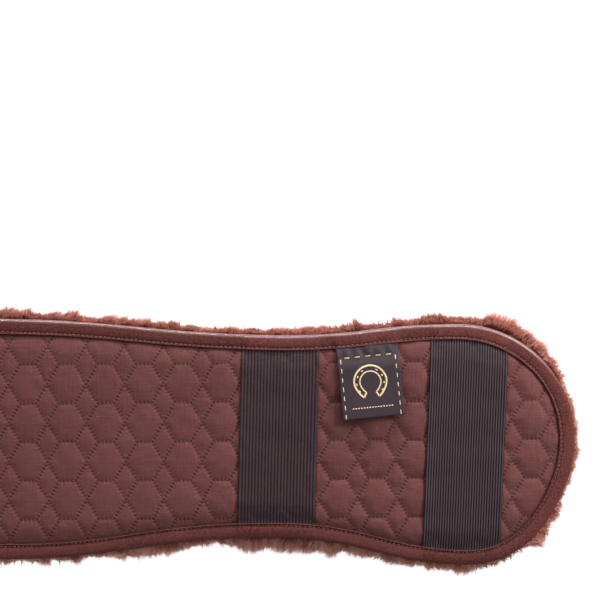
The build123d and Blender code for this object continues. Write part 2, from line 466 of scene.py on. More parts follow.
def base_height(inset):
    """Height of the quilting seams: the face rises from under the binding to its full height."""
    rise = smooth(BINDING_WIDTH - 0.5, BINDING_WIDTH + FACE_RISE, inset)
    return EDGE_TOP + (VALLEY - EDGE_TOP) * rise


def loose_face(x, y, inset, gap):
    """The face before the cloth settles: a low even puff in every cell."""
    size = PUFF_MIDDLE + (PUFF_END - PUFF_MIDDLE) * smooth(110, 230, np.abs(x))
    rise = 1 - (1 - np.clip(gap / 9, 0, 1)) ** 2
    return base_height(inset) + size * rise * smooth(BINDING_WIDTH, BINDING_WIDTH + 4.5, inset)


def settle_cloth():
    """Cloth simulation of the face. It is cut a little too large for its quilting and is held at
    the seams, so it swells and puckers between them. Returns how far it moved, on a grid."""
    x, y, inset, faces, _ = sheet(CLOTH_STEP, BINDING_WIDTH - 1)
    gap, _ = seam_place(x, y)
    uneven = 0.12 * noise(x, y, 4.2, 26) * smooth(1, 4, gap)
    points = np.column_stack([x, y, loose_face(x, y, inset, gap) + uneven])
    mesh = bpy.data.meshes.new("settling")
    mesh.from_pydata((points * CLOTH_SCALE).tolist(), [], faces.tolist())
    cloth = link("settling", mesh)
    rim_hold = 1 - smooth(BINDING_WIDTH + 0.5, BINDING_WIDTH + 3, inset)
    held = np.maximum(np.exp(-((gap / 1.1) ** 2)), rim_hold)
    slack = smooth(90, 210, np.abs(x)) * (1 - 0.7 * under_band(x, y))
    for name, weights in (("held", held), ("slack", slack)):
        group = cloth.vertex_groups.new(name=name)
        for index, weight in enumerate(weights.tolist()):
            group.add([index], weight, "REPLACE")
    modifier = cloth.modifiers.new("cloth", "CLOTH")
    for key, value in CLOTH_SETTINGS.items():
        setattr(modifier.settings, key, value)
    modifier.settings.effector_weights.gravity = 0
    modifier.point_cache.frame_end = CLOTH_FRAMES
    for frame_number in range(1, CLOTH_FRAMES + 1):
        bpy.context.scene.frame_set(frame_number)
    settled = cloth.evaluated_get(bpy.context.evaluated_depsgraph_get()).data
    moved = np.empty(len(points) * 3, np.float32)
    settled.vertices.foreach_get("co", moved)
    moved = moved.reshape(-1, 3) / CLOTH_SCALE - points
    moved[:, 2] = CLOTH_CAP * np.tanh(moved[:, 2] / CLOTH_CAP)
    low = points[:, :2].min(0) - 3 * CLOTH_STEP
    cells = np.round((points[:, :2] - low) / CLOTH_STEP).astype(int)
    grid = np.zeros((*(cells.max(0) + 4), 3))
    grid[cells[:, 0], cells[:, 1]] = moved
    bpy.context.scene.frame_set(1)
    bpy.data.objects.remove(cloth)
    bpy.data.meshes.remove(mesh)
    return low, grid


def cloth_shift(x, y):
    """How far the settled cloth moved at each point, by cubic splines over the grid."""
    u = np.clip((np.asarray(x, float) - CLOTH_LOW[0]) / CLOTH_STEP, 1, CLOTH_GRID.shape[0] - 3)
    v = np.clip((np.asarray(y, float) - CLOTH_LOW[1]) / CLOTH_STEP, 1, CLOTH_GRID.shape[1] - 3)
    i, j = np.floor(u).astype(int), np.floor(v).astype(int)

    def weights(t):
        inner = (3 * t**3 - 6 * t**2 + 4) / 6, (-3 * t**3 + 3 * t**2 + 3 * t + 1) / 6
        return (1 - t) ** 3 / 6, *inner, t**3 / 6

    total = np.zeros((*np.shape(u), 3))
    for a, weight_u in enumerate(weights(u - i)):
        for b, weight_v in enumerate(weights(v - j)):
            total += (weight_u * weight_v)[..., None] * CLOTH_GRID[i + a - 1, j + b - 1]
    return total


CLOTH_LOW, CLOTH_GRID = settle_cloth()


def face_height(x, y, inset):
    """Top of the quilted face: settled cloth, drawn down at every needle hole."""
    gap, turns = seam_place(x, y)
    hole = 0.5 + 0.5 * np.cos(2 * math.pi * turns)
    base = base_height(inset)
    puff = loose_face(x, y, inset, gap) - base + cloth_shift(x, y)[..., 2]
    kept = SETTLED_MIDDLE + (SETTLED_END - SETTLED_MIDDLE) * smooth(90, 210, np.abs(x))
    puff = puff * kept * (1 - (1 - BAND_PRESS) * under_band(x, y))
    edge = smooth(BINDING_WIDTH - 1, BINDING_WIDTH + 3, inset)
    stitch = -(0.12 + 0.22 * hole) * np.exp(-((gap / 0.95) ** 2))
    crumple = (0.12 * noise(x, y, 5.5, 25) + 0.07 * noise(x, y, 2.6, 27)) * smooth(1, 4, gap)
    return base + puff + (stitch + crumple) * edge


def face_at(x, y):
    inset, _ = inset_of(x, y)
    return face_height(x, y, inset)


def draped(x, y, radius):
    """Height of cloth laid over the quilted face, which it bridges from puff to puff."""
    highest = face_at(x, y)
    for angle in circle(8):
        around = face_at(x + radius * math.cos(angle), y + radius * math.sin(angle))
        highest = np.maximum(highest, around)
    return highest


# ---- Materials ----
def linear(colour):
    """A colour given in sRGB bytes, as Blender's linear values."""
    parts = [byte / 255 for byte in colour]
    return (*(c / 12.92 if c <= 0.04045 else ((c + 0.055) / 1.055) ** 2.4 for c in parts), 1.0)


class Shader:
    """A material being wired: each method adds a node and returns what it puts out. Colours are
    in sRGB bytes. Patterns lie on the piece's rest coordinates, in millimetres."""

    def __init__(self, name, roughness=0.8, sheen=0.0):
        self.material = bpy.data.materials.new(name)
        self.material.use_nodes = True
        self.tree = self.material.node_tree
        self.surface = self.tree.nodes["Principled BSDF"]
        self.feed("Roughness", roughness)
        self.feed("Sheen Weight", sheen)
        self.feed("Sheen Roughness", 0.45)
        self.feed("Specular IOR Level", 0.25)

    def plug(self, socket, value):
        """Links another node's output to a socket, or gives the socket a value."""
        if isinstance(value, bpy.types.NodeSocket):
            self.tree.links.new(value, socket)
        else:
            socket.default_value = linear(value) if socket.type == "RGBA" else value

    def feed(self, key, value):
        self.plug(self.surface.inputs[key], value)

    def node(self, kind, inputs, **settings):
        made = self.tree.nodes.new(kind)
        for key, value in settings.items():
            setattr(made, key, value)
        for key, value in inputs.items():
            self.plug(made.inputs[key], value)
        return made

    def value(self, attribute, output="Fac"):
        return self.node("ShaderNodeAttribute", {}, attribute_name=attribute).outputs[output]

    def rest(self, scale=(1, 1, 1), turn=0.0):
        """The piece's rest coordinates, times scale, turned by so many degrees."""
        turned = (0, 0, math.radians(turn))
        inputs = {"Vector": self.value("rest", "Vector"), "Scale": scale, "Rotation": turned}
        return self.node("ShaderNodeMapping", inputs).outputs["Vector"]

    def noise(self, fineness, detail=2.0):
        """fineness is the number of features to the millimetre, for all axes or for each."""
        scale = np.broadcast_to(fineness, 3).tolist()
        inputs = {"Vector": self.rest(scale), "Scale": 1.0, "Detail": detail}
        return self.node("ShaderNodeTexNoise", inputs).outputs["Fac"]

    def wave(self, scale, distortion, direction="X", turn=0.0):
        inputs = {"Vector": self.rest(turn=turn), "Scale": scale, "Distortion": distortion}
        return self.node("ShaderNodeTexWave", inputs, bands_direction=direction).outputs["Fac"]

    def maths(self, operation, first, second=0.0):
        return self.node("ShaderNodeMath", {0: first, 1: second}, operation=operation).outputs[0]

    def times(self, first, second):
        return self.maths("MULTIPLY", first, second)

    def fit(self, value, low, high, to_low=0.0, to_high=1.0):
        limits = {"From Min": low, "From Max": high, "To Min": to_low, "To Max": to_high}
        return self.node("ShaderNodeMapRange", {"Value": value, **limits}).outputs["Result"]

    def mix(self, factor, first, second):
        inputs = {0: factor, 6: first, 7: second}
        return self.node("ShaderNodeMix", inputs, data_type="RGBA").outputs[2]

    def bump(self, height, distance, strength=1.0):
        """distance is in millimetres. A second bump lies on top of the first."""
        inputs = {"Height": height, "Strength": strength, "Distance": distance * MM}
        normal = self.surface.inputs["Normal"]
        if normal.is_linked:
            inputs["Normal"] = normal.links[0].from_socket
        self.plug(normal, self.node("ShaderNodeBump", inputs).outputs["Normal"])

    def bell(self, value, middle, width):
        """1 where value is at the middle, falling to 0 about width away."""
        away = self.maths("DIVIDE", self.maths("SUBTRACT", value, middle), width)
        return self.maths("EXPONENT", self.times(self.times(away, away), -1.0))


def weave(shader, pitch):
    """Height of a plain weave, from 0 to 1: uneven threads both ways."""
    across, along = 1.6 / pitch, 0.12
    warp, weft = shader.noise((across, along, along)), shader.noise((along, across, along))
    return shader.fit(shader.times(shader.maths("ADD", warp, weft), 0.5), 0.36, 0.64)


def cotton():
    """Plain-woven cotton with lint, puckered at each stitch, with painted shade along its seams, at each
    needle hole and just inside the binding.
    """
    shader = Shader("quilted_cotton", roughness=0.85, sheen=0.06)
    threads = weave(shader, 0.65)
    plain = shader.mix(threads, (92, 51, 49), (110, 64, 62))
    patches = shader.fit(shader.noise((0.02, 0.03, 0.02), 3.0), 0.35, 0.7, 0.0, 0.35)
    faded = shader.mix(patches, plain, (118, 71, 68))
    lint = shader.fit(shader.noise(0.8, 1.0), 0.70, 0.78, 0.0, 0.5)
    specked = shader.mix(lint, faded, (158, 112, 106))
    # Painted shade, gathered in dark: darker along each seam valley, darker still at each needle hole
    # (pinch), and darker just inside the binding (tucked), mixed towards (50, 24, 24).
    gap = shader.value("gap")
    turns = shader.times(shader.value("turns"), 2 * math.pi)
    hole = shader.fit(shader.maths("COSINE", turns), -1.0, 1.0)
    pinch = shader.times(shader.bell(gap, 0.0, 0.62), hole)
    dark = shader.maths("ADD", shader.times(shader.bell(gap, 0.0, 0.5), 0.25), pinch)
    dark = shader.maths("ADD", shader.times(dark, 0.46), shader.value("tucked"))
    dark = shader.node("ShaderNodeClamp", {"Value": dark}).outputs["Result"]
    shader.feed("Base Color", shader.mix(dark, specked, (50, 24, 24)))
    shader.feed("Roughness", shader.fit(threads, 0.3, 0.7, 0.92, 0.78))
    pucker = shader.times(shader.maths("SUBTRACT", 0.5, hole), shader.bell(gap, 1.2, 0.8))
    shader.bump(shader.maths("SUBTRACT", shader.times(pucker, 0.5), pinch), 0.26)
    shader.bump(threads, 0.045, 0.8)
    return shader.material


def binding_tape():
    """Closely woven, mottled tape. Where it rolls over the straighter edge it is glossier and carries a
    painted highlight; painted shade darkens its stitch line.
    """
    shader = Shader("binding_tape", roughness=0.85)
    threads = weave(shader, 0.6)
    heather = shader.fit(shader.noise(0.75, 3.0), 0.34, 0.66, 0.0, 0.6)
    mottle = shader.maths("ADD", shader.times(threads, 0.4), heather)
    body = shader.mix(mottle, (66, 34, 32), (116, 67, 62))
    drift = shader.fit(shader.noise(0.035), 0.35, 0.7, 0.0, 0.35)
    worn = shader.mix(drift, body, (110, 66, 62))
    # Painted highlight: on the rolled outer edge of the straighter side, where the edge_glow lamp falls, the
    # colour pales towards (142, 96, 92); the same mask makes it glossier.
    roll = shader.value("roll")
    with_painted_highlight = shader.mix(shader.times(roll, 0.3), worn, (142, 96, 92))
    # Painted shade along the stitch line and in its needle holes.
    shader.feed("Base Color", shader.mix(shader.value("seam_shade"), with_painted_highlight, (62, 32, 31)))
    shader.feed("Roughness", shader.fit(roll, 0.0, 1.0, 0.85, 0.18))
    shader.feed("Specular IOR Level", shader.fit(roll, 0.0, 1.0, 0.04, 1.0))
    shader.bump(threads, 0.05, 0.8)
    return shader.material


def ribbed_elastic():
    """Dark elastic with painted shade between its ribs. The end band has painted light on its ridges and
    deeper painted shade in its grooves.
    """
    shader = Shader("ribbed_elastic", roughness=0.6)
    shader.feed("Specular IOR Level", 0.12)
    specks = shader.noise((1.4, 0.5, 1.4))
    ridge = shader.mix(specks, (54, 41, 45), (80, 64, 68))
    tone = shader.fit(shader.noise((0.05, 0.03, 0.05)), 0.3, 0.7, 0.0, 0.3)
    worn = shader.mix(tone, ridge, (80, 64, 67))
    # Painted light: the end band's ridges are painted paler.
    painted_light = shader.mix(shader.value("painted_light"), worn, (86, 73, 77))
    # Painted shade in the grooves between the ribs.
    shader.feed("Base Color", shader.mix(shader.value("groove_shade"), painted_light, (22, 13, 17)))
    shader.feed("Roughness", shader.fit(specks, 0.3, 0.7, 0.72, 0.55))
    picks = shader.times(shader.wave(0.55, 0.6, "Y"), 0.4)
    shader.bump(shader.maths("ADD", picks, specks), 0.06, 0.7)
    return shader.material


def label_weave():
    """Dark ribbon, woven in a fine twill."""
    shader = Shader("label_weave", roughness=0.55, sheen=0.05)
    twill = shader.wave(0.9, 0.3, turn=40)
    body = shader.mix(shader.noise(1.2), (46, 36, 42), (68, 55, 62))
    shader.feed("Base Color", shader.mix(shader.times(twill, 0.3), body, (36, 27, 33)))
    shader.bump(twill, 0.05, 0.6)
    return shader.material


def cream_thread():
    """Satin stitch, with its strands laid aslant."""
    shader = Shader("cream_thread", roughness=0.5, sheen=0.2)
    strands = shader.wave(1.1, 0.5, turn=35)
    shader.feed("Base Color", shader.mix(strands, (232, 196, 146), (255, 232, 190)))
    shader.bump(strands, 0.08, 0.8)
    return shader.material


def fibrous(name, dark, light, fineness, detail, roughness, sheen, relief=0.0, strength=0.8):
    """Thread or loose fibres in two mottled tones, with a raised grain where relief says."""
    shader = Shader(name, roughness, sheen)
    grain = shader.noise(fineness, detail)
    shader.feed("Base Color", shader.mix(grain, dark, light))
    if relief:
        shader.bump(grain, relief, strength)
    return shader.material


def inner_layer(name, dark, light, fineness):
    fineness = (fineness, fineness * 0.6, fineness)
    return fibrous(name, dark, light, fineness, 4.0, roughness=0.95, sheen=0.1, relief=0.3)


def pile_colour(name, colour, sheen):
    """Fibres are too fine to carry a pattern, so each takes one of several plain tones."""
    shader = Shader(name, roughness=0.62, sheen=sheen)
    shader.feed("Base Color", colour)
    shader.feed("Sheen Tint", (230, 180, 160))
    return shader.material


COTTON = cotton()
BINDING = binding_tape()
THREAD = fibrous("brown_thread", (76, 40, 38), (122, 74, 70), 1.5, 1.0, roughness=0.65, sheen=0.1)
# The binding's thread: the pale tone of its mottle is a painted highlight on the stitches.
SEAM_THREAD_PAINTED_LIGHT = fibrous("seam_thread_painted_light", (110, 64, 60), (176, 124, 116), 1.5, 1.0, roughness=0.5, sheen=0.2)
# Near-black for the needle holes: painted shade where the thread dives into the cloth.
HOLE_SHADE = fibrous("needle_hole_shade", (30, 12, 12), (48, 22, 21), 1.0, 1.0, roughness=1.0, sheen=0.0)
ELASTIC = ribbed_elastic()
LABEL = label_weave()
CREAM = cream_thread()
PILE_GROUND = fibrous(
    "pile_ground", (84, 38, 30), (142, 76, 60), 0.25, 4.0, roughness=0.9, sheen=0.4, relief=1.2, strength=1.0
)
PILE_TONES = [
    pile_colour("pile_root", (104, 49, 41), 0.05),
    pile_colour("pile_dark", (150, 85, 73), 0.1),
    pile_colour("pile_mid", (188, 120, 104), 0.15),
    pile_colour("pile_light", (221, 154, 138), 0.2),
    pile_colour("pile_tip", (246, 194, 178), 0.25),
]


# ---- The strip's layers ----
def build_cover():
    """Quilted cotton face, with a puff in every cell of the quilting."""
    x, y, inset, faces, rim_edges = sheet(COVER_STEP, COVER_EDGE)
    top = face_height(x, y, inset)
    gap, turns = seam_place(x, y)
    sideways = cloth_shift(x, y)[:, :2] * (1 - under_band(x, y))[:, None]
    sideways = np.clip(sideways, -SIDEWAYS_CAP, SIDEWAYS_CAP)
    x, y = x + sideways[:, 0], y + sideways[:, 1]
    points, quads = closed_sheet(x, y, top, top - COVER_CLOTH, faces, rim_edges)
    # Painted shade on the face just inside the binding's edge; the cotton darkens by this much.
    tucked = 0.6 * (1 - smooth(10.2, 12.5, inset))
    marks = {"gap": gap, "turns": turns, "tucked": tucked}
    cover = make_piece(
        "quilted_cover", points, quads, [COTTON], attributes=marks, flat=len(rim_edges)
    )
    fold_across(cover, "quilted_cover")


def build_inner_layers():
    """Wadding, its scrim and the knitted backing: hidden, but there when the strip is opened."""
    x, y, inset, faces, rim_edges = sheet(LAYER_STEP, LAYER_INSET + 0.3)
    around = [(0, 0), (LAYER_STEP, 0), (-LAYER_STEP, 0), (0, LAYER_STEP), (0, -LAYER_STEP)]
    lowest = np.min([face_height(x + dx, y + dy, inset - 1) for dx, dy in around], axis=0)
    squeezed = EDGE_TOP - COVER_CLOTH - 0.3
    rim = smooth(BINDING_WIDTH - 1, BINDING_WIDTH + 3, inset)
    top = squeezed + (np.maximum(lowest - COVER_CLOTH - 0.7, squeezed) - squeezed) * rim
    layers = (
        ("wadding", "wadding", top, SCRIM_TOP, (222, 216, 206), (246, 242, 236), 0.3),
        ("wadding_scrim", "scrim", SCRIM_TOP, BACK_TOP, (200, 190, 178), (226, 220, 210), 1.2),
        ("pile_backing", "knitted_backing", BACK_TOP, BACK_LOW, (86, 44, 36), (120, 68, 56), 0.8),
    )
    for name, finish, high, low, dark, light, fineness in layers:
        high, low = (np.broadcast_to(level, x.shape) for level in (high, low + 0.05))
        points, quads = closed_sheet(x, y, high, low, faces, rim_edges)
        material = inner_layer(name, dark, light, fineness)
        layer = make_piece(name, points, quads, [material], flat=len(rim_edges))
        fold_across(layer, name)


# ---- Quilting stitches ----
def quilt_lines():
    """The quilting stitches in pattern coordinates: middle, direction and length of each."""
    half = QUILT_PITCH / 2
    runs = [((-QUILT_FLAT, 0), (QUILT_FLAT, 0), QUILT_LEVEL_COUNT)]
    for side_x in (-1, 1):
        for side_y in (-1, 1):
            corner = (side_x * half, side_y * half)
            runs.append(((side_x * QUILT_FLAT, 0), corner, QUILT_SLANT_COUNT))
    cell = []
    for start, stop, count in runs:
        start, stop = np.array(start, float), np.array(stop, float)
        span = np.linalg.norm(stop - start)
        at = (np.arange(count) + 0.5) / count
        stitch = (*(stop - start) / span, span / count)
        middles = start + (stop - start) * at[:, None]
        cell.append(np.column_stack([middles, np.tile(stitch, (count, 1))]))
    columns, rows = (np.arange(-far, far + 1) * QUILT_PITCH for far in QUILT_CELLS)
    cells = np.array([(column, row, 0, 0, 0) for column in columns for row in rows])
    return (cells[:, None, :] + np.vstack(cell)[None]).reshape(-1, 5)


def on_cloth(spots):
    """Takes points of the quilting pattern to where they lie on the strip."""
    c, s = math.cos(QUILT_TURN), math.sin(QUILT_TURN)
    x = spots[:, 0] * c - spots[:, 1] * s + QUILT_ORIGIN[0]
    y = spots[:, 0] * s + spots[:, 1] * c + QUILT_ORIGIN[1]
    for _ in range(4):
        u, v = quilt_axes(x, y)
        x, y = x + spots[:, 0] - u, y + spots[:, 1] - v
    return x, y


def build_quilting():
    """Thread of the quilting: a short raised stitch, and the pinhole where it dives, painted dark as shade.
    """
    lines = quilt_lines()
    x, y = on_cloth(lines)
    inset, _ = inset_of(x, y)
    keep = inset > BINDING_WIDTH + 0.6
    x, y, inset, lines = x[keep], y[keep], inset[keep], lines[keep]
    headings = unit(lines[:, 2:4] + rng.normal(0, 0.07, (len(x), 2)))
    lengths = lines[:, 4:]
    c, s = math.cos(QUILT_TURN), math.sin(QUILT_TURN)
    along = np.column_stack([headings @ [c, -s], headings @ [s, c], 0 * x])
    up = np.tile([0.0, 0.0, 1.0], (len(x), 1))
    centres = np.column_stack([x, y, face_height(x, y, inset) + 0.10])
    stitches = spindles(centres, along, up, lengths * 0.82, 0.2, 0.3)
    holes = centres + along * lengths / 2
    holes[:, 2] = face_at(holes[:, 0], holes[:, 1]) + 0.04
    make_stitches("quilting_stitches", THREAD, stitches, pits(holes, 0.42))


# ---- Edge binding ----
def seam_lift(x, y):
    """How far the tape is raised over the sewn ends of the bands and the label."""
    pivot, across, _ = label_frame()
    lift = ELASTIC_THICK * 0.9 * under_band(x, y)
    from_label = np.abs((x - pivot[0]) * across[0] + (y - pivot[1]) * across[1])
    near = (1 - smooth(HALF_LABEL - 1, HALF_LABEL + 2, from_label)) * (y > 0)
    return np.maximum(lift, 2 * LEAF * near)


def binding_section():
    """The folded tape in section: inset and height of each point, and how loose it is there."""
    high, low = TAPE_TOP, TAPE_LOW
    return np.array(
        [
            (10.0, high - 0.15, 1.0),
            (9.85, high + 0.35, 1.0),
            (9.4, high + 0.42, 1.0),
            (8.9, high + 0.12, 1.0),
            (8.4, high - 0.22, 1.0),
            (7.9, high + 0.02, 1.0),
            (7.2, high + 0.2, 0.95),
            (5.6, high + 0.38, 0.85),
            (3.9, high + 0.42, 0.6),
            (2.4, high + 0.34, 0.35),
            (1.4, high + 0.1, 0.1),
            (0.6, high - 0.5, 0.0),
            (0.05, high - 1.7, 0.0),
            (0.0, low + 2.2, 0.0),
            (0.3, low + 1.1, 0.0),
            (1.0, low + 0.3, 0.0),
            (2.6, low, 0.0),
            (5.6, low - 0.05, 0.0),
            (8.4, low + 0.25, 0.0),
            (10.0, low + 0.1, 0.0),
            (10.0, low + 0.75, 0.0),
            (1.5, low + 0.75, 0.0),
            (0.8, low + 1.5, 0.0),
            (0.8, high - 1.5, 0.0),
            (1.5, high - 0.75, 0.2),
            (5.0, high - 0.75, 0.85),
            (8.4, high - 0.78, 1.0),
            (9.9, high - 0.7, 1.0),
        ]
    )


def build_binding():
    """Tape folded over the edge, raised where bands and label are caught under it."""
    inset, height, loose = binding_section().T
    wander = 0.35 * noise(RIM_AT, 0, 55, 31) + 0.18 * noise(RIM_AT, 0, 14, 32)
    reach = inset[None] * (1 + 0.03 * noise(RIM_AT, 5, 42, 33))[:, None]
    spots = RIM[:, None, :] - OUTWARD[:, None, :] * (reach + 0.3 * wander[:, None])[:, :, None]
    x, y = spots[:, :, 0], spots[:, :, 1]
    pucker = 0.13 * noise(RIM_AT, 0, 3.4, 34)[:, None] + 0.1 * noise(x, y, 7, 35)
    swell = 0.22 * noise(RIM_AT, 9, 30, 36)[:, None]
    curl = 0.4 * (0.5 + 0.5 * noise(RIM_AT, 4, 20, 37))[:, None] * smooth(8.8, 9.8, inset)[None]
    stitch_at = RIM_AT / RIM_LENGTH * round(RIM_LENGTH / BINDING_STITCH)
    hole = 0.5 - 0.5 * np.cos(2 * math.pi * stitch_at)[:, None]
    dimple = -0.22 * hole * np.exp(-(((inset - BINDING_SEAM) / 0.7) ** 2))[None]
    z = height[None] + loose[None] * (seam_lift(x, y) + swell + curl + dimple)
    z = z + pucker * (inset[None] > 1)
    under = height < TAPE_LOW + 2.5
    z[:, under] = np.broadcast_to(height, z.shape)[:, under]
    quads = turned_over(lattice(*z.shape, ring=True, closed=True))
    # Painted shade mask: the stitch line, darker at each needle hole.
    seam_shade = np.exp(-(((inset - BINDING_SEAM) / 0.6) ** 2))[None] * (0.3 + 0.45 * hole)
    # Painted highlight mask: the rolled outer edge, on the straighter edge's side only. It also sets the
    # tape's gloss there.
    roll = (1 - smooth(1.2, 2.1, inset))[None] * smooth(0.4, 0.95, OUTWARD[:, 1])[:, None]
    marks = {"seam_shade": seam_shade.ravel(), "roll": roll.ravel()}
    points = np.column_stack([x.ravel(), y.ravel(), z.ravel()])
    piece = make_piece("edge_binding", points, quads, [BINDING], attributes=marks)
    fold_across(piece, "edge_binding")


def build_binding_stitches():
    """One row of lockstitch on each side of the tape, near its inner edge."""
    count = round(RIM_LENGTH / BINDING_STITCH)
    at = np.concatenate([np.arange(count), np.arange(count) + 0.5]) * RIM_LENGTH / count
    x, y, *facing = rim_place(at)
    outward = unit(np.column_stack(facing))
    wobble = 0.1 * rng.normal(0, 1, len(at))[:, None]
    spots = np.column_stack([x, y]) - outward * (BINDING_SEAM + 0.1 + wobble)
    along = np.column_stack([-outward[:, 1], outward[:, 0], 0 * at])[:count]
    level = TAPE_TOP - 0.06 + seam_lift(spots[:, 0], spots[:, 1])
    top = np.column_stack([spots, level])
    under = np.column_stack([spots, np.full(len(at), TAPE_LOW + 0.1)])
    upward = np.tile([0.0, 0.0, 1.0], (count, 1))
    stitches = spindles(
        np.vstack([top[:count], under[:count]]),
        np.vstack([along, along]),
        np.vstack([upward, -upward]),
        BINDING_STITCH * 0.78,
        0.22,
        0.35,
    )
    # Pinholes between the stitches, coloured with painted shade.
    holes = pits(top[count:] - [0, 0, 0.16], 0.38)
    make_stitches("binding_stitches", SEAM_THREAD_PAINTED_LIGHT, stitches, holes, "binding_thread")


# ---- Elastic bands ----
def band_limits(centre, lean, across):
    """The Y at which each line along the band runs under the binding, top and bottom."""
    ys = np.linspace(-90, 90, 721)
    limits = []
    for offset in across:
        inset, _ = inset_of(centre + lean * ys + offset, ys)
        inside = ys[inset > BINDING_WIDTH - 6.2]
        limits.append((inside.max(), inside.min()))
    return np.array(limits)


def band_rest(x, y):
    """The height a stretched band takes over the quilt, smoothed along its length."""
    low = draped(x, y, 4.5)
    for _ in range(6):
        padded = np.pad(low, ((0, 0), (1, 1)), "edge")
        low = np.maximum(low, (padded[:, :-2] + padded[:, 2:]) / 2) * 0.5 + low * 0.5
    for _ in range(3):
        padded = np.pad(low, ((1, 1), (1, 1)), "edge")
        low = (padded[:-2, 1:-1] + padded[2:, 1:-1] + padded[1:-1, :-2] + padded[1:-1, 2:]) / 4
    return low


def band_mesh(name, x, y, high, low, across, ridge):
    """A closed ribbon from two height fields; its material runs along the band."""
    quads = lattice(*x.shape).reshape(-1, 4)
    rim_edges = open_edges(quads)
    points, faces = closed_sheet(x.ravel(), y.ravel(), high.ravel(), low.ravel(), quads, rim_edges)
    along = np.broadcast_to(across[:, None], x.shape).ravel()
    rest = np.column_stack([along, y.ravel(), 0 * along])
    # The end band is painted as more strongly lit: deeper painted shade in its grooves and painted light on
    # its ridges.
    end_band = name.startswith("end")
    groove_shade = np.broadcast_to(1 - ridge ** (3.0 if end_band else 1.0), x.shape).ravel()
    marks = {"groove_shade": groove_shade, "painted_light": 0.8 if end_band else 0.0}
    return make_piece(
        name, points, faces, [ELASTIC], rest=rest, attributes=marks, flat=len(rim_edges)
    )


def build_band(name, centre, lean):
    """A ribbed band in two pieces, each from a sewn end to the middle of the band."""
    ribs = RIBS[name.split("_")[0]]
    across = np.linspace(-HALF_BAND, HALF_BAND, ribs * RIB_SAMPLES + 1)
    coarse = across[:: RIB_SAMPLES * 2]
    limits = band_limits(centre, lean, coarse)
    seed = int(abs(centre)) + (centre < 0)
    ridge = np.abs(np.sin(math.pi * (across / (2 * HALF_BAND) + 0.5) * ribs))[:, None] ** 0.8
    ends = [np.interp(across, coarse, limits[:, column]) for column in (0, 1)]
    share = np.linspace(-1, 1, 2 * BAND_STEPS - 1)[None]
    y = np.where(share > 0, share * ends[0][:, None], -share * ends[1][:, None])
    x = centre + lean * y + across[:, None]
    inset, _ = inset_of(x, y)
    rest = band_rest(x[::RIB_SAMPLES], y[::RIB_SAMPLES])
    low = np.stack([np.interp(across, across[::RIB_SAMPLES], line) for line in rest.T], 1)
    wave = 0.18 * noise(x, y, 16, seed) + 0.08 * noise(x, y, 6, seed + 1)
    selvedge = smooth(21, 25, np.abs(across))[:, None] * 0.3 * noise(0 * x, y, 9, seed + 2)
    tucked = 1 - smooth(BINDING_WIDTH - 1, BINDING_WIDTH + 13, inset)
    low = (low + wave + selvedge + 0.3) * (1 - tucked) + (EDGE_TOP + 0.1) * tucked
    clear = smooth(BINDING_WIDTH - 1, BINDING_WIDTH + 2, inset)
    low = np.maximum(low, (face_height(x, y, inset) + 0.15) * clear)
    thick = ELASTIC_THICK - RIB_DEPTH * (1 - ridge) * (1 - 0.6 * tucked)
    for part, end, rows in (
        ("upper", ends[0].mean(), slice(BAND_STEPS - 1, None)),
        ("lower", ends[1].mean(), slice(None, BAND_STEPS)),
    ):
        fields = [field[:, rows] for field in (x, y, low + thick, low)]
        piece = band_mesh(f"{name}_{part}", *fields, across, ridge)
        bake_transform(piece)
        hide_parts(name, f"{name}_sewn_ends")


# ---- Label ----
def label_frame():
    """The label's pivot, its direction along the seam and its direction of hang."""
    joint = JOINTS["label_flip"]
    pivot = np.array(joint["pos_m"]) / MM
    across = -np.array(joint["axis"], float)
    return pivot, across, np.array([across[1], -across[0], 0.0])


def label_point(u, v, raise_by):
    """Places label coordinates in space: u across and v down from its seam, so far above its
    underside. The free end curls up a little."""
    pivot, across, hang = label_frame()
    u, v = np.broadcast_arrays(np.asarray(u, float), np.asarray(v, float))
    x = pivot[0] + u * across[0] + v * hang[0]
    y = pivot[1] + u * across[1] + v * hang[1]
    inset, _ = inset_of(x, y)
    rest_on = base_height(inset) + 3.2 * smooth(10, 17, inset)
    tuck = 1 - smooth(-1.0, 14.0, v)
    rest_on = rest_on * (1 - tuck) + (EDGE_TOP + 0.06) * tuck
    rest_on = np.maximum(rest_on, draped(x, y, 1.8) + 0.15)
    curl = 1.7 * smooth(16, LABEL_DROP, v) * (0.7 - 0.45 * u / HALF_LABEL)
    ripple = 0.3 * np.sin(u / 8.0 + v / 15.0) * smooth(4, 20, v)
    gather = 0.35 * np.sin(u * 0.9 + 0.6) * np.exp(-(((v - 3.5) / 2.5) ** 2))
    return np.stack([x, y, rest_on + curl + ripple + gather + raise_by], -1)


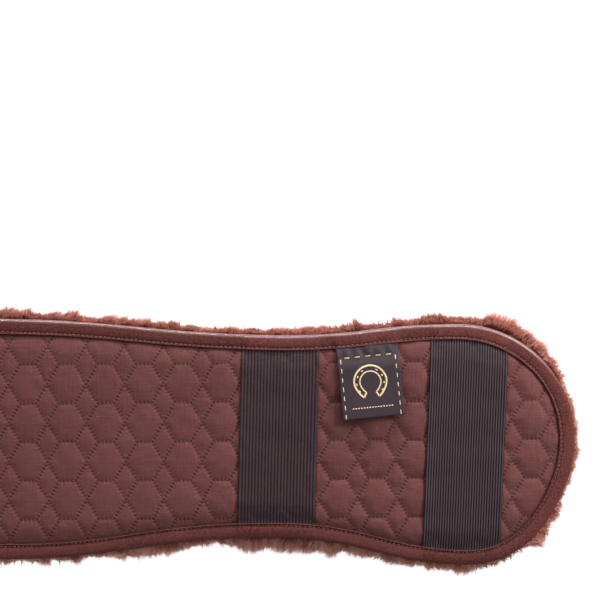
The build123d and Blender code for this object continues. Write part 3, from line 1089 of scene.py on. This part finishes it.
def build_label():
    """A woven strip folded double: both ends are caught in the seam, the fold hangs free."""
    us = np.linspace(-HALF_LABEL, HALF_LABEL, 41)
    fold_at = LABEL_DROP - 1.0
    down = np.linspace(-6.5, fold_at, 52)
    radius = LABEL_THICK / 2
    turns = np.linspace(-math.pi / 2, math.pi / 2, 9)[1:-1]
    fold = [(fold_at + radius * math.cos(a), radius * (1 - math.sin(a))) for a in turns]
    front, back = ([(v, level) for v in down] for level in (LABEL_THICK, 0.0))
    inner, inner_back = ([(v, level) for v in down] for level in (LEAF, LABEL_THICK - LEAF))
    turn_back = [(fold_at + 0.12, LEAF + 0.12)]
    loop = np.array(front + fold + back[::-1] + inner + turn_back + inner_back[::-1])
    grid = label_point(us[:, None], loop[None, :, 0], loop[None, :, 1])
    quads = lattice(*grid.shape[:2], ring=True).reshape(-1, 4)
    ends = label_end_faces(grid.shape[:2], len(down), 2 * len(down) + len(fold))
    rest = np.stack(np.broadcast_arrays(us[:, None], loop[None, :, 0], loop[None, :, 1]), -1)
    faces = np.vstack([quads, *ends])
    points, rest = grid.reshape(-1, 3), rest.reshape(-1, 3)
    piece = make_piece("label_flap", points, faces, [LABEL], rest=rest)
    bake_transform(piece)
    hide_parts("label_flap", "label_sewn_end")


def label_end_faces(shape, count, outer):
    """Closes both side edges of the folded strip between its outer and inner skins. Each leaf has
    count points down its length, and the outer skin has outer points in all."""
    index = np.arange(shape[0] * shape[1]).reshape(shape)
    faces = []
    for row, order in ((index[0], 1), (index[-1], -1)):
        front, back = row[:count], row[outer - count : outer]
        behind_front, behind_back = row[-count:][::-1], row[outer : outer + count][::-1]
        for leaf, behind in ((front, behind_front), (back, behind_back)):
            quads = np.column_stack([leaf[:-1], leaf[1:], behind[1:], behind[:-1]])
            faces.append(quads[:, ::order])
    return faces


def raised_strip(path, widths, height=THREAD_RISE):
    """A low padded stroke of thread along a path on the label: points and faces."""
    path = np.asarray(path, float)
    heading = unit(np.gradient(path, axis=0))
    side = np.column_stack([-heading[:, 1], heading[:, 0]])
    profile = ((-1.0, -0.3), (-0.86, 0.6), (-0.4, 1.0), (0.4, 1.0), (0.86, 0.6), (1.0, -0.3))
    rings = []
    for across, up in profile:
        spot = path + side * (across * np.asarray(widths) / 2)[:, None]
        rings.append(label_point(spot[:, 0], spot[:, 1], LABEL_THICK + up * height))
    points = np.stack(rings, 1)
    rows, columns = points.shape[:2]
    quads = turned_over(lattice(rows, columns, ring=True))
    first = np.arange(columns)
    caps = np.array([first[::-1], first + (rows - 1) * columns])
    return points.reshape(-1, 3), quads, caps


def dash(start, stop, width, height=0.16):
    path = np.linspace(start, stop, 5)
    return raised_strip(path, width * np.array([0.75, 1, 1, 1, 0.75]), height)


def join_strips(name, strips, *nodes):
    """One piece of thread that moves with the label, from many strokes."""
    points, quads, caps = zip(*strips)
    starts = np.cumsum([0, *map(len, points)])
    faces = [np.vstack([part + start for part, start in zip(kind, starts)]) for kind in (quads, caps)]
    piece = make_piece(name, np.vstack(points), faces, [CREAM])
    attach(piece, "label")
    if nodes:
        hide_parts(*nodes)


def build_label_threads():
    """Cream figures: a broken border, a plain horseshoe and a plain row of stitches."""
    edge, first, last = HALF_LABEL - BORDER_INSET, 6.0, LABEL_DROP - 2.2
    border = []
    for v in np.linspace(first + 2.2, last, 7):
        for u in (-edge, edge):
            border.append(dash((u, v - 1.5), (u, v + 1.5), 0.62))
    for u in np.linspace(-edge + 4.2, edge - 4.2, 5):
        border.append(dash((u - 1.7, first), (u + 1.7, first), 0.62))
    join_strips("label_border_thread", border, "label_border_thread")
    join_strips("label_emblem_thread", horseshoe(), "label_emblem_thread")
    line = [
        dash((u - 0.55, LINE_DOWN), (u + 0.55, LINE_DOWN), 0.75, 0.12)
        for u in np.linspace(-12.6, 12.6, 15)
    ]
    join_strips("label_line_thread", line)


def horseshoe():
    """A plain horseshoe, open downwards, with a row of nail marks inside its rim."""
    angles = np.radians(np.linspace(-58, 238, 61))
    squeeze = 1 - 0.13 * smooth(0.2, -0.85, np.sin(angles))
    outer, inner = (
        np.column_stack([wide * np.cos(angles) * squeeze, SHOE_MIDDLE - tall * np.sin(angles)])
        for wide, tall in (SHOE_OUTER, SHOE_INNER)
    )
    strips = [raised_strip(outer, np.full(len(angles), 1.25)), raised_strip(inner, np.full(len(angles), 0.9))]
    for run in (0, -1):
        strips.append(raised_strip(np.linspace(outer[run], inner[run], 5), np.full(5, 1.1)))
    wide, tall = SHOE_NAILS
    for angle in np.radians([-34, -4, 27, 58, 122, 153, 184, 214]):
        spot = np.array([wide * math.cos(angle), SHOE_MIDDLE - tall * math.sin(angle)])
        half = np.array([-math.sin(angle), -math.cos(angle)]) * 0.75
        strips.append(dash(spot - half, spot + half, 0.8))
    return strips


# ---- Pile ----
def fringe_reach(at):
    """How far the pile stands out past the binding, round the outline: thin stretches, thick
    stretches and a few large clumps."""
    wide = 0.5 + 0.5 * noise(at, 0, 46, 41)
    narrow = 0.5 + 0.5 * noise(at, 3, 11, 42)
    reach = 1.4 + 4.0 * wide * (0.45 + 0.55 * narrow) + 1.0 * noise(at, 6, 4.5, 43)
    x, y, _, _ = rim_place(at)
    for clump_x, side, half_width, extra in CLUMPS:
        here = np.exp(-(((x - clump_x) / half_width) ** 4)) * (y * side > 0)
        reach = reach + extra * here * (0.75 + 0.25 * narrow)
    return np.maximum(reach, 0.6)


def pile_underside(x, y, inset):
    """Height of the pile's matted ground, which swells in clumps and rounds off at the edge."""
    clump = 1.5 * noise(x, y, 9, 44) + 0.9 * noise(x, y, 4.5, 45)
    edge = np.sqrt(np.clip((inset + 1.5) / 9, 0, 1))
    return (TAPE_LOW - 2.0) * (1 - edge) + (4.2 + clump) * edge


def build_pile_ground():
    """The matted ground that the tufts stand in."""
    edge = -0.8
    x, y, inset, faces, rim_edges = sheet(LAYER_STEP, edge)
    _, nearest = inset_of(x, y)
    spread = np.minimum(0.6 * fringe_reach(RIM_AT[nearest]), 3.2) * smooth(3.0, edge, inset)
    high = TAPE_LOW - 0.35 + (BACK_LOW - TAPE_LOW + 0.3) * smooth(10.5, 12, inset)
    high = high - 3.2 * smooth(-edge, edge, inset)
    low = np.minimum(pile_underside(x, y, inset), high - 0.6)
    x, y = x + spread * OUTWARD[nearest, 0], y + spread * OUTWARD[nearest, 1]
    points, quads = closed_sheet(x, y, high, low, faces, rim_edges)
    fold_across(make_piece("fur_pile", points, quads, [PILE_GROUND]), "fur_pile")


def build_tufts(name, roots, aims, bends, lengths, widths, tones):
    """Tapered three-sided tufts, each bent once: roots, directions and tones set each. The lower half of each
    tuft takes the next darker tone, as painted shade at the roots.
    """
    count = len(roots)
    aims = unit(aims)
    side = unit(np.cross(aims, np.tile([0.31, 0.17, 0.93], (count, 1))))
    other = np.cross(aims, side)
    middle = roots + aims * (lengths * 0.5)[:, None]
    tips = middle + (aims + bends) * (lengths * 0.5)[:, None]
    spin = rng.uniform(0, 2 * math.pi, count)
    rings = []
    for centre, size in ((roots, 1.0), (middle, 0.8)):
        for turn in circle(3):
            swing = np.cos(turn + spin)[:, None] * side + np.sin(turn + spin)[:, None] * other
            rings.append(centre + swing * (widths * size)[:, None])
    points = np.stack([*rings, tips], 1)
    points[:, :, 2] = np.maximum(points[:, :, 2], 0.05)
    quads = [(i, (i + 1) % 3, 3 + (i + 1) % 3, 3 + i) for i in range(3)]
    caps = [(3 + i, 3 + (i + 1) % 3, 6) for i in range(3)] + [(2, 1, 0)]
    faces = [repeated([group], count, points.shape[1]) for group in (quads, caps)]
    # Painted shade at the roots: the lower half of each tuft takes the next darker tone.
    lower = np.maximum(tones - 1, 0)
    slots = np.concatenate([np.repeat(lower, 3), np.repeat(tones, 4)])
    fold_across(make_piece(name, points.reshape(-1, 3), faces, PILE_TONES, slots))


def build_fringe(name, count):
    """Pile that spills out from under the binding, all the way round, combed into locks."""
    at = rng.uniform(0, RIM_LENGTH, count)
    lock = np.round(at / LOCK_WIDTH + 0.35 * rng.normal(0, 1, count))
    middle = (lock + 0.3 * noise(lock, 0, 1.7, 52)) * LOCK_WIDTH
    turn = rng.uniform(0, 1, count) ** 1.25 * 0.86 * math.pi
    reach = fringe_reach(at)
    x, y, nx, ny = rim_place(at)
    out = 0.62 * reach * np.sin(turn) - 1.3 * (1 - np.sin(turn))
    roots = np.column_stack([x + nx * out, y + ny * out, 8.0 + 5.3 * np.cos(turn)])
    lengths = (2.0 + 0.62 * reach) * rng.uniform(0.55, 1.2, count)
    lengths *= 0.85 + 0.3 * noise(lock, turn * 2, 1.3, 53)
    lengths *= 1 + 0.9 * smooth(0.3, 0.75, noise(lock, 0, 2.2, 56))
    stray = rng.uniform(0, 1, count) > 0.985
    lengths = np.minimum(np.where(stray, lengths * 1.5, lengths), TUFT_MAX)
    gather = np.clip((middle - at) * 0.55 / lengths, -0.7, 0.7)
    comb = 0.8 * noise(at, 0, 38, 55) + 0.45 * noise(lock * 2.6, turn * 2, 5, 46)
    sway = comb + gather + rng.normal(0, 0.12, count)
    rise = 0.32 * np.cos(turn) - 0.05 + 0.25 * noise(lock * 1.9, turn * 3, 3, 54)
    rise = rise + rng.normal(0, 0.08, count)
    aims = np.column_stack([nx - ny * sway, ny + nx * sway, rise])
    bends = np.column_stack([-ny, nx, 0 * nx]) * rng.normal(0, 0.12, count)[:, None]
    bends[:, 2] = rng.normal(-0.1, 0.15, count)
    widths = rng.uniform(0.11, 0.22, count)
    # Tone choice, partly random and partly painted light and shade: tufts that reach straight out, and those
    # on the bottom edge, are painted lighter, as if lit through. Those tucked up under the binding or turned
    # underneath are painted darker.
    light = 0.55 * rng.uniform(0, 1, count) + 0.3 * np.sin(turn) + 0.3 * noise(lock, turn, 1.5, 48)
    tones = 1 + np.digitize(light - 0.34 * ny - 0.04, (0.22, 0.48, 0.78), right=True)
    build_tufts(name, roots, aims, bends, lengths, widths, tones)


def build_underside(name, count):
    """Tufts over the whole underside, leaning in whorls."""
    x, y = (rng.uniform(-far, far, count * 2) for far in np.abs(RIM).max(0))
    inset, nearest = inset_of(x, y)
    keep = np.flatnonzero(inset > -0.8)[:count]
    x, y, inset, outward = x[keep], y[keep], inset[keep], OUTWARD[nearest[keep]]
    roots = np.column_stack([x, y, pile_underside(x, y, inset) + 1.0])
    lean = 0.9 * noise(x, y, 12, 49) + rng.normal(0, 0.3, len(x))
    tilt = 0.9 * noise(x, y, 12, 50) + rng.normal(0, 0.3, len(x))
    spill = np.clip(1 - inset / 7, 0, 1)[:, None] * outward * 1.3
    aims = np.column_stack([lean + spill[:, 0], tilt + spill[:, 1], np.full(len(x), -0.9)])
    bends = rng.normal(0, 0.4, (len(x), 3))
    lengths = rng.uniform(4.0, 7.5, len(x))
    widths = rng.uniform(0.35, 0.7, len(x))
    light = rng.uniform(0, 1, len(x)) + 0.3 * noise(x, y, 8, 51)
    tones = 1 + np.digitize(light, (0.3, 0.65, 0.97), right=True)
    build_tufts(name, roots, aims, bends, lengths, widths, tones)


# ---- Studio ----
def area_light(name, spot, aim, size, power):
    light = bpy.data.lights.new(name, "AREA")
    light.shape = "RECTANGLE"
    light.size, light.size_y = size
    light.energy = power
    lamp = link(name, light)
    lamp.location = spot
    lamp.rotation_euler = (Vector(aim) - Vector(spot)).to_track_quat("-Z", "Y").to_euler()


def build_floor():
    """A white, faintly glowing floor. When the strip bends down, it stays under the lower end."""
    mesh = bpy.data.meshes.new("floor")
    corners = [(FLOOR_HALF * i, FLOOR_HALF * j, 0) for i, j in ((-1, -1), (1, -1), (1, 1), (-1, 1))]
    mesh.from_pydata(corners, [], [(0, 1, 2, 3)])
    floor = link("floor", mesh)
    shader = Shader("white_floor", roughness=0.9)
    shader.feed("Base Color", (151, 151, 151))
    shader.feed("Emission Color", (255, 255, 255))
    shader.feed("Emission Strength", 0.93)
    mesh.materials.append(shader.material)
    marker = link("floor_marker", None)
    marker.location = (-np.abs(RIM).max() * MM, 0, -FLOOR_DROP * MM)
    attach(marker, "left_half")
    follow = floor.constraints.new("COPY_LOCATION")
    follow.target = marker
    follow.use_x = follow.use_y = False
    rest = floor.constraints.new("LIMIT_LOCATION")
    rest.use_max_z = True
    rest.max_z = -FLOOR_DROP * MM


def build_studio():
    """Soft light from above and, stronger, from the straighter edge's side. The background looks
    white whatever light it gives."""
    scene = bpy.context.scene
    scene.view_settings.view_transform = "Standard"
    world = bpy.data.worlds.new("soft_white")
    world.use_nodes = True
    tree = world.node_tree
    background = tree.nodes["Background"]
    background.inputs["Color"].default_value = (1, 1, 1, 1)
    seen = tree.nodes.new("ShaderNodeLightPath").outputs["Is Camera Ray"]
    strength = tree.nodes.new("ShaderNodeMath")
    strength.operation = "MAXIMUM"
    strength.inputs[1].default_value = 0.27
    tree.links.new(seen, strength.inputs[0])
    tree.links.new(strength.outputs["Value"], background.inputs["Strength"])
    scene.world = world
    area_light("key", (1.0, 0.65, 0.58), (0.28, 0, 0), (0.42, 0.36), 13)
    area_light("overhead", (0.55, 0.1, 1.5), (0.35, 0, 0), (1.2, 1.0), 3.3)
    area_light("edge_glow", (0.0, 1.3, 0.35), (0.0, 0, 0), (2.0, 0.04), 20)


def build_camera():
    """Straight down with a long lens, over the end that carries the label."""
    data = bpy.data.cameras.new("camera")
    data.lens = 100
    data.sensor_width = 36
    camera = link("camera", data)
    distance = VIEW_WIDTH * data.lens / data.sensor_width
    camera.location = [value * MM for value in (*CAMERA_SPOT, distance + FACE_TOP)]
    camera.rotation_euler = (0, 0, CAMERA_ROLL)
    bpy.context.scene.camera = camera


build_cover()
build_inner_layers()
build_quilting()
build_binding()
build_binding_stitches()
for band_name, (band_centre, band_lean) in BANDS.items():
    build_band(band_name, band_centre, band_lean)
build_label()
build_label_threads()
build_pile_ground()
for number in range(1, 6):
    build_fringe(f"fur_fringe_{number}", FRINGE_TUFTS)
for number in range(1, 4):
    build_underside(f"fur_underside_{number}", UNDERSIDE_TUFTS)
build_studio()
build_floor()
build_camera()
